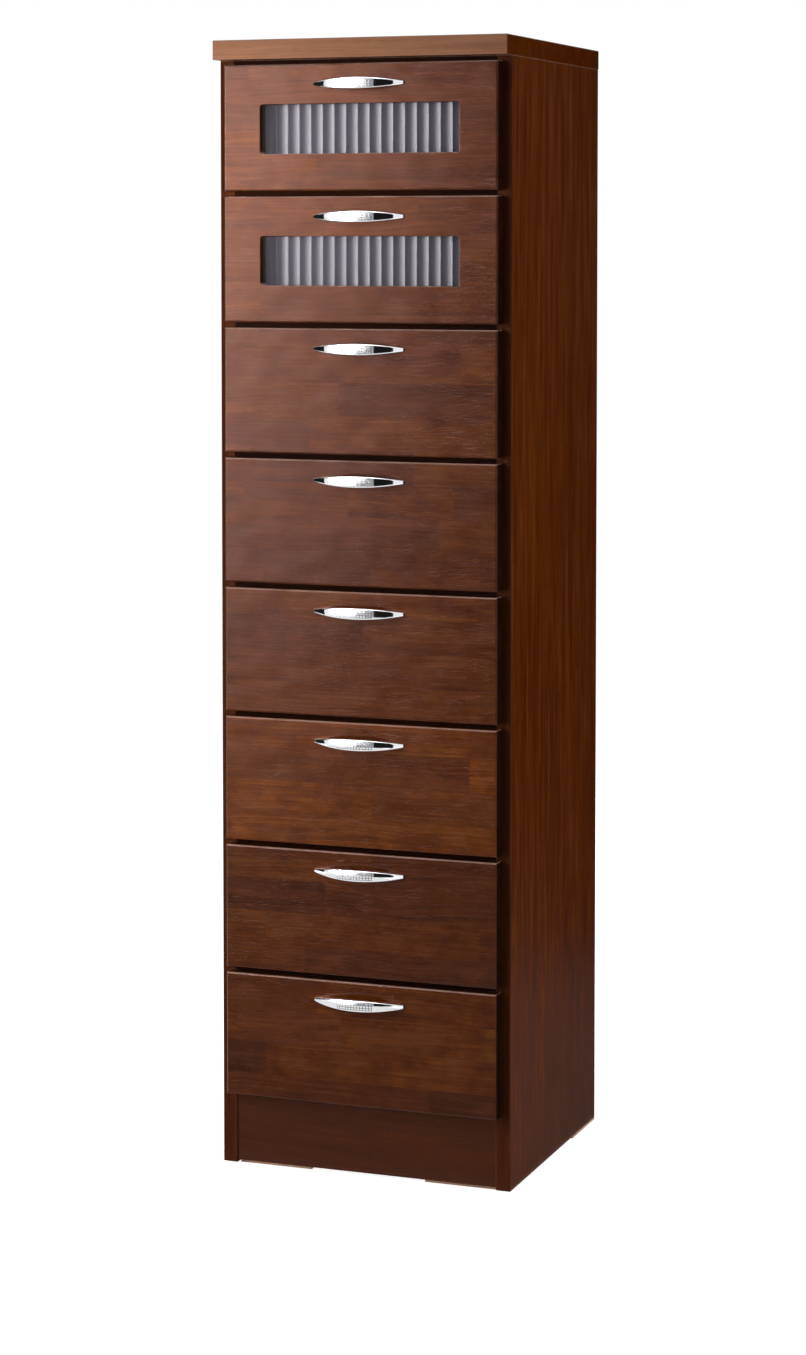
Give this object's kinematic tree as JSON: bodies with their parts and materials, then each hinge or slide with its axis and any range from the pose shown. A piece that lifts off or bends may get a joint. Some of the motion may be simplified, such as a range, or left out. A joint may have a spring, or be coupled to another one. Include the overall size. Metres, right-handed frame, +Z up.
{
  "type": "chest of drawers",
  "caption": "Tall narrow wooden chest of sliding drawers with chrome bow handles, overlay fronts and a plinth base; the upper fronts have reeded window panes.",
  "frame": {"origin": "on the floor, at the middle of the chest's outline with its handles", "axes": "+X to the right when facing the drawers, -Y out of the drawers' front, +Z up"},
  "size_m": [0.4, 0.4054, 1.47],
  "materials": {
    "stained_wood": "satin brown stain",
    "pale_wood": "bare planed wood",
    "plywood": "bare plywood",
    "reeded_pane": "reeded, translucent grey",
    "handle_chrome": "polished",
    "screw_steel": "zinc plated"
  },
  "bodies": {
    "carcase": {"top_board": "stained_wood", "side_panel_left": "stained_wood", "side_panel_right": "stained_wood", "back_panel": "plywood", "plinth_boards": "stained_wood", "base_board": "plywood", "cross_rails": "stained_wood", "drawer_runners": "pale_wood", "corner_feet": "plywood", "top_screws": "screw_steel"},
    "drawer_1": {"drawer_1_front": "stained_wood", "drawer_1_sides": "pale_wood", "drawer_1_back": "pale_wood", "drawer_1_bottom": "plywood", "drawer_1_handle": "handle_chrome", "drawer_1_screws": "screw_steel", "drawer_1_pane": "reeded_pane"},
    "drawer_2": {"drawer_2_front": "stained_wood", "drawer_2_sides": "pale_wood", "drawer_2_back": "pale_wood", "drawer_2_bottom": "plywood", "drawer_2_handle": "handle_chrome", "drawer_2_screws": "screw_steel", "drawer_2_pane": "reeded_pane"},
    "drawer_3": {"drawer_3_front": "stained_wood", "drawer_3_sides": "pale_wood", "drawer_3_back": "pale_wood", "drawer_3_bottom": "plywood", "drawer_3_handle": "handle_chrome", "drawer_3_screws": "screw_steel"},
    "drawer_4": {"drawer_4_front": "stained_wood", "drawer_4_sides": "pale_wood", "drawer_4_back": "pale_wood", "drawer_4_bottom": "plywood", "drawer_4_handle": "handle_chrome", "drawer_4_screws": "screw_steel"},
    "drawer_5": {"drawer_5_front": "stained_wood", "drawer_5_sides": "pale_wood", "drawer_5_back": "pale_wood", "drawer_5_bottom": "plywood", "drawer_5_handle": "handle_chrome", "drawer_5_screws": "screw_steel"},
    "drawer_6": {"drawer_6_front": "stained_wood", "drawer_6_sides": "pale_wood", "drawer_6_back": "pale_wood", "drawer_6_bottom": "plywood", "drawer_6_handle": "handle_chrome", "drawer_6_screws": "screw_steel"},
    "drawer_7": {"drawer_7_front": "stained_wood", "drawer_7_sides": "pale_wood", "drawer_7_back": "pale_wood", "drawer_7_bottom": "plywood", "drawer_7_handle": "handle_chrome", "drawer_7_screws": "screw_steel"},
    "drawer_8": {"drawer_8_front": "stained_wood", "drawer_8_sides": "pale_wood", "drawer_8_back": "pale_wood", "drawer_8_bottom": "plywood", "drawer_8_handle": "handle_chrome", "drawer_8_screws": "screw_steel"}
  },
  "joints": [
    {"name": "drawer_1_slide", "type": "slide", "parent": "carcase", "child": "drawer_1", "axis": [0, -1, 0], "range_m": [0, 0.25]},
    {"name": "drawer_2_slide", "type": "slide", "parent": "carcase", "child": "drawer_2", "axis": [0, -1, 0], "range_m": [0, 0.25]},
    {"name": "drawer_3_slide", "type": "slide", "parent": "carcase", "child": "drawer_3", "axis": [0, -1, 0], "range_m": [0, 0.25]},
    {"name": "drawer_4_slide", "type": "slide", "parent": "carcase", "child": "drawer_4", "axis": [0, -1, 0], "range_m": [0, 0.25]},
    {"name": "drawer_5_slide", "type": "slide", "parent": "carcase", "child": "drawer_5", "axis": [0, -1, 0], "range_m": [0, 0.25]},
    {"name": "drawer_6_slide", "type": "slide", "parent": "carcase", "child": "drawer_6", "axis": [0, -1, 0], "range_m": [0, 0.25]},
    {"name": "drawer_7_slide", "type": "slide", "parent": "carcase", "child": "drawer_7", "axis": [0, -1, 0], "range_m": [0, 0.25]},
    {"name": "drawer_8_slide", "type": "slide", "parent": "carcase", "child": "drawer_8", "axis": [0, -1, 0], "range_m": [0, 0.25]}
  ]
}
